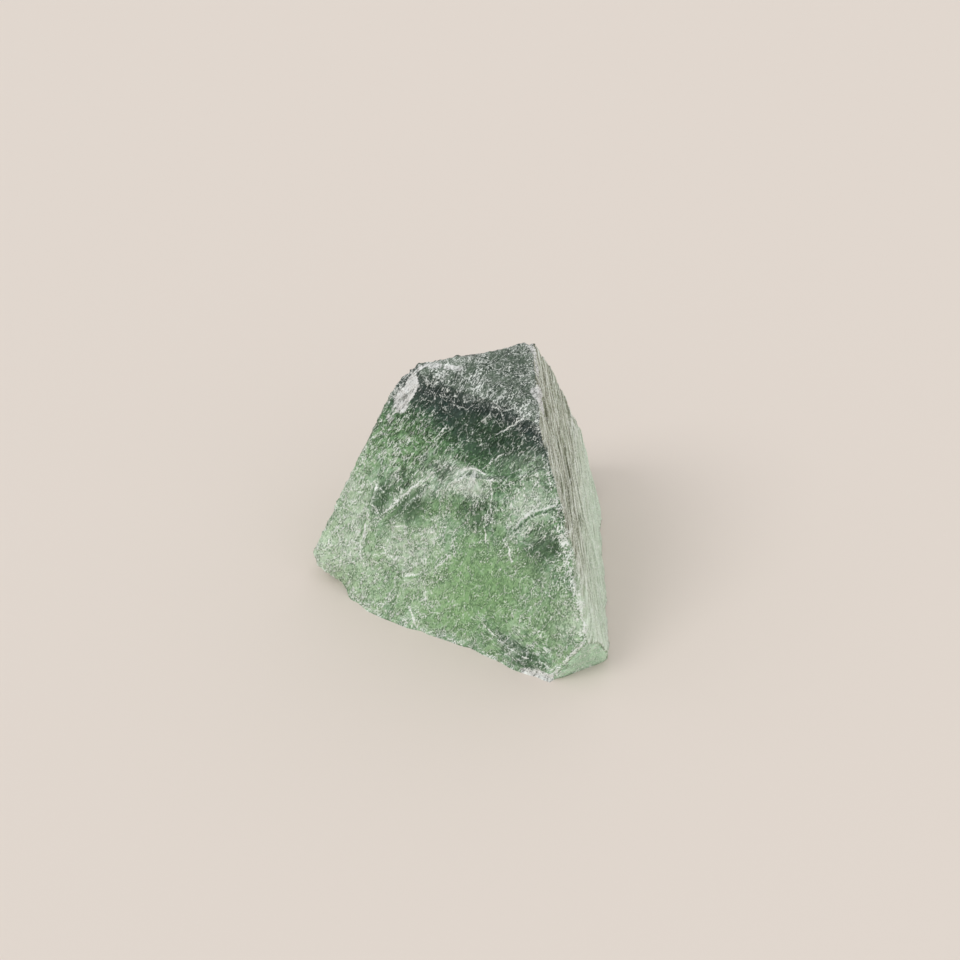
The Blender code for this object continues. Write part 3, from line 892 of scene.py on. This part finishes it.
def fluoriteMaterial():
    shader = Shader("fluorite")
    axes = frontFace.axes
    place, bent = shader.place(), shader.bent(look["bendSize"], look["bendAmount"])
    mask = {layer.name: shader.attribute(layer.name) for layer in skinPiece.data.attributes
            if layer.data_type == "FLOAT"}

    def surfaceNoise(name, where, axes=axes):
        sizes, turn, detail, roughness = look[name]
        return shader.grain(shader.stretched(where, axes, sizes, turn), detail, roughness)

    # growth layers, level with the lower face and paler low down partly as painted light through the crystal,
    # and the zones of the front
    cloud, drift = surfaceNoise("cloud", place), surfaceNoise("drift", place)
    blotch, crumb, speck = (surfaceNoise(name, bent) for name in ("blotch", "crumb", "speck"))
    crumbSwing, speckSwing = crumb - 0.5, speck - 0.5
    height = shader.node("ShaderNodeSeparateXYZ", {}, (place,), "Z") / mm
    layerHeight = (height + (cloud - 0.5) * look["layerWave"]) / look["stoneHeight"]
    colour = shader.node("ShaderNodeValToRGB", dict(stops=look["layers"]), (layerHeight,), "Color")
    tealShare = drift.between(*step["teal"]) * cover["teal"] * (1.0 - mask["glow"])
    tealShare = tealShare * (1.0 - layerHeight.between(*step["tealTop"]))
    colour = shader.mixColour(tealShare, colour, look["teal"])
    # painted glow: light through the crystal from the floor, as a yellow-green
    colour = shader.mixColour(mask["glow"], colour, look["paintedGlowGreen"])
    # pale zones: partly own colour, partly painted light through the thin parts
    colour = shader.mixColour(mask["pale"] * addUp("pale", blotch=blotch), colour, look["paleGreen"])
    shadowed = (mask["dark"] * addUp("shadow", blotch=blotch - 0.5)).between(*step["shadow"])
    colour = shader.mixColour(shadowed * cover["shadow"], colour, look["darkMoss"])
    colour = shader.mixColour(mask["onTop"] * cover["topGrey"], colour, look["topGrey"])
    # painted light on the foot: a pale mint where light comes through the thin foot of the crystal
    colour = shader.mixColour(mask["onFoot"] * cover["footGlowMint"], colour, look["footGlowMint"])

    # hackle: streaky grain with fine threads in it, that run the way the break ran
    def threads(turn, stretch, face):
        sizes, swing, strength = look["threadGrain"]
        sizes = (sizes[0] * stretch, sizes[1], sizes[2])
        total = (shader.grain(shader.stretched(bent, face.axes, sizes, turn + swing), 1.0) - 0.5) * strength
        for sizes, swing, width, strength in look["threads"]:
            sizes = (sizes[0] * stretch, sizes[1], sizes[2])
            wave = shader.grain(shader.stretched(bent, face.axes, sizes, turn + swing), 1.0)
            total = total + (1.0 - abs(wave - 0.5).between(0.0, width)) * strength
        return total - look["threadMean"]

    directed = mask["hackleSlant"] + mask["hackleUpright"] + mask["hackleDownhill"] + mask["hackleTop"]
    plain = look["plainStrokes"] - directed.atMost(1.0)
    level = threads(*look["plainStroke"]) * plain
    for name, stroke in look["strokes"].items():
        level = level + threads(*stroke) * mask[name]
    level = level / (directed + plain) + speckSwing * look["speckStrength"]
    level = level * addUp("patchy", blotch=blotch.between(*step["strokes"]))
    level = level * addUp("directed", strokes=directed.atMost(1.0))
    level = level * (1.0 - addUp("clearing", glow=mask["glow"], dark=mask["dark"]).atMost(cover["clearing"]))

    # cracked cells, some more frosted than others, with fine pale rims
    crazedSizes, crazedTurn, crazedWidth = look["crazed"]
    brokenSizes, brokenTurn, brokenWidth = look["broken"]
    crazed = shader.stretched(bent, axes, crazedSizes, crazedTurn)
    broken = shader.stretched(bent, axes, brokenSizes, brokenTurn)
    veins = shader.veins(crazed, crazedWidth) * crumb.between(*step["veins"])
    rims = shader.veins(broken, brokenWidth) * blotch.between(*step["rims"])
    facet = addUp("facet", broken=shader.cells(broken), crazed=shader.cells(crazed))

    # cleavage terraces: a bright lip along each rise, and one more or less frosted than the next
    tread = mask["terrace"].fraction()
    lip = tread.between(*step["lipRise"]) * (1.0 - tread.between(*step["lipFall"]))
    lip = lip * crumb.between(*step["lipCrumb"])
    coat = shader.node("ShaderNodeTexWhiteNoise", dict(noise_dimensions="1D"),
                       {"W": mask["terrace"].whole()}, "Value")
    density = mask["fleck"] + addUp("density", crumb=crumbSwing, coat=coat - 0.5, lineBand=mask["lineBand"],
                                    haze=mask["haze"], facet=facet - 0.5)
    offTop = 1.0 - mask["onTop"]
    sparse = addUp("sparse", layers=layerHeight.between(*step["sparse"]) * offTop, dark=mask["dark"])
    tone = level + (density - 0.5) * look["densityStrength"] - sparse
    light, bright = tone.between(*step["light"]), tone.between(*step["bright"])
    deep = (-tone).between(*step["deep"])
    thin = addUp("thin", veins=veins, rims=rims, lip=lip) * addUp("thinOnFleck", fleck=mask["fleck"])
    thin = thin * speck.between(*step["thin"])
    veil = density.between(*step["veil"]) * cover["veil"] * (1.0 - layerHeight.between(*step["veilTop"]))

    # marks, frosted areas, worn edges, crust and chips
    marks = addUp("marks", core=mask["lineCore"], speck=speckSwing, crumb=crumbSwing).between(*step["marks"])
    marks = marks * mask["lineBand"].between(*step["markBand"])
    hazy = mask["haze"] * addUp("hazy", light=light)
    edges = mask["edgeWorn"] * addUp("edges", speck=speck.between(*step["edgeSpeck"]))
    edges = edges * crumb.between(*step["edgeCrumb"])
    crusty = (mask["crust"] + addUp("crust", crumb=crumbSwing, speck=speckSwing)).between(*step["crust"])
    crusty = crusty * mask["crust"].between(*step["crustBand"])
    streaks = surfaceNoise("streaks", bent) - 0.5
    chip = (mask["chipped"] + addUp("chip", crumb=crumbSwing, streaks=streaks)).between(*step["chip"])
    chip = chip * mask["chipped"].between(*step["chipBand"])
    chipTone = addUp("chipTone", streaks=streaks, speck=speckSwing).between(0.0, 1.0)
    chipColour = shader.mixColour(chipTone, look["lilacDark"], look["lilac"])
    colour = shader.mixColour(veil, colour, look["softFrost"])
    colour = shader.mixColour(hazy, colour, look["softFrost"])

    # dark gaps between the strokes, and the frosting on them
    darkGaps = addUp("gaps", layers=layerHeight.between(*step["gaps"]), dark=mask["dark"]).atMost(1.0)
    darkGaps = darkGaps * (1.0 - mask["onFoot"])
    gapColour = shader.mixColour(darkGaps, look["gapGreen"], look["gapDark"])
    gapCover = (cover["gaps"] - mask["onFoot"] * cover["gapsOnFoot"]
                - mask["haze"].atMost(1.0) * cover["gapsInHaze"])
    colour = shader.mixColour(deep * gapCover, colour, gapColour)
    greyShare = layerHeight.between(*step["greyFrost"])
    frosting = shader.mixColour(greyShare, look["frostGreen"], look["frostGrey"])
    # the brightest flecks turn pure white: frosted cracks, and partly painted glints
    frosting = shader.mixColour(bright * cover["brightFrosting"], frosting, look["frost"])
    colour = shader.mixColour(light * cover["frosting"], colour, frosting)

    # the right-hand face breaks along long fibres
    fibreLong = surfaceNoise("fibreLong", place, rightFace.axes)
    fibreShort = surfaceNoise("fibreShort", bent, rightFace.axes)
    fibreTone = addUp("fibres", long=fibreLong, short=fibreShort, low=mask["rightLow"])
    fibreColour = shader.node("ShaderNodeValToRGB", dict(stops=look["fibres"]), (fibreTone,), "Color")
    fibreColour = shader.mixColour(mask["rightLow"] * cover["rightMint"], fibreColour, look["fibreMint"])
    fibreColour = shader.mixColour(mask["rightRidge"] * cover["rightGrey"], fibreColour, look["fibreGrey"])
    offRight = 1.0 - mask["onRight"] * cover["frostOffRight"]
    colour = shader.mixColour(mask["onRight"] * cover["right"], colour, fibreColour)
    # bright flecks in pure white: frost, and partly painted glints
    colour = shader.mixColour(bright * offRight * cover["frost"], colour, look["frost"])
    colour = shader.mixColour(chip * cover["chip"], colour, chipColour)
    whitest = (marks * cover["marks"] + thin + edges * cover["edges"] + crusty * cover["crust"]
               + bruiseRays(shader, place) * cover["rays"]).atMost(cover["whitest"])
    colour = shader.mixColour(whitest, colour, look["frost"])

    strokeRelief = addUp("strokeRelief", tone=tone, speck=speck) * offRight
    fibreRelief = fibreTone * mask["onRight"]
    bumpHeight = addUp("wholeRelief", strokes=strokeRelief, whitest=whitest, fibres=fibreRelief)
    bumped = shader.node("ShaderNodeBump", {}, {"Strength": look["bump"],
                                                "Distance": look["bumpDepth"] * mm,
                                                "Height": bumpHeight})
    roughness = addUp("roughness", light=light, whitest=whitest, top=mask["onTop"]).atMost(cover["roughness"])
    shader.fill(shader.surface, {"Base Color": colour, "Roughness": roughness, "Normal": bumped,
                                 "IOR": look["refraction"]})
    return shader.material


skinPiece.data.materials.clear()
skinPiece.data.materials.append(fluoriteMaterial())
print("fluorite finished")


# Pale floor and soft studio light

studio = dict(
    floorColour=linear(221, 211, 202),
    floorHalf=1.5,
    skyStrength=0.86,
    keyFrom=(-0.55, -0.31, 0.71),
    keyStrength=0.75,
    keyAngle=28.0,
)


def layFloor():
    half = studio["floorHalf"]
    bm = bmesh.new()
    bmesh.ops.create_grid(bm, x_segments=1, y_segments=1, size=half)
    mesh = bpy.data.meshes.new("floor")
    bm.to_mesh(mesh)
    bm.free()
    shader = Shader("paleFloor")
    shader.fill(shader.surface, {"Base Color": studio["floorColour"], "Roughness": 0.7,
                                 "Specular IOR Level": 0.2})
    mesh.materials.append(shader.material)
    floor = bpy.data.objects.new("floor", mesh)
    bpy.context.scene.collection.objects.link(floor)


def lightStudio():
    world = bpy.data.worlds.new("studio")
    world.use_nodes = True
    background = world.node_tree.nodes["Background"]
    background.inputs["Color"].default_value = (1.0, 1.0, 1.0, 1.0)
    background.inputs["Strength"].default_value = studio["skyStrength"]
    bpy.context.scene.world = world
    key = bpy.data.lights.new("key", "SUN")
    key.energy = studio["keyStrength"]
    key.angle = math.radians(studio["keyAngle"])
    lamp = bpy.data.objects.new("key", key)
    lamp.rotation_euler = Vector(studio["keyFrom"]).to_track_quat("Z", "Y").to_euler()
    bpy.context.scene.collection.objects.link(lamp)
    bpy.context.scene.view_settings.view_transform = "Standard"


layFloor()
lightStudio()
print("floor and light placed")
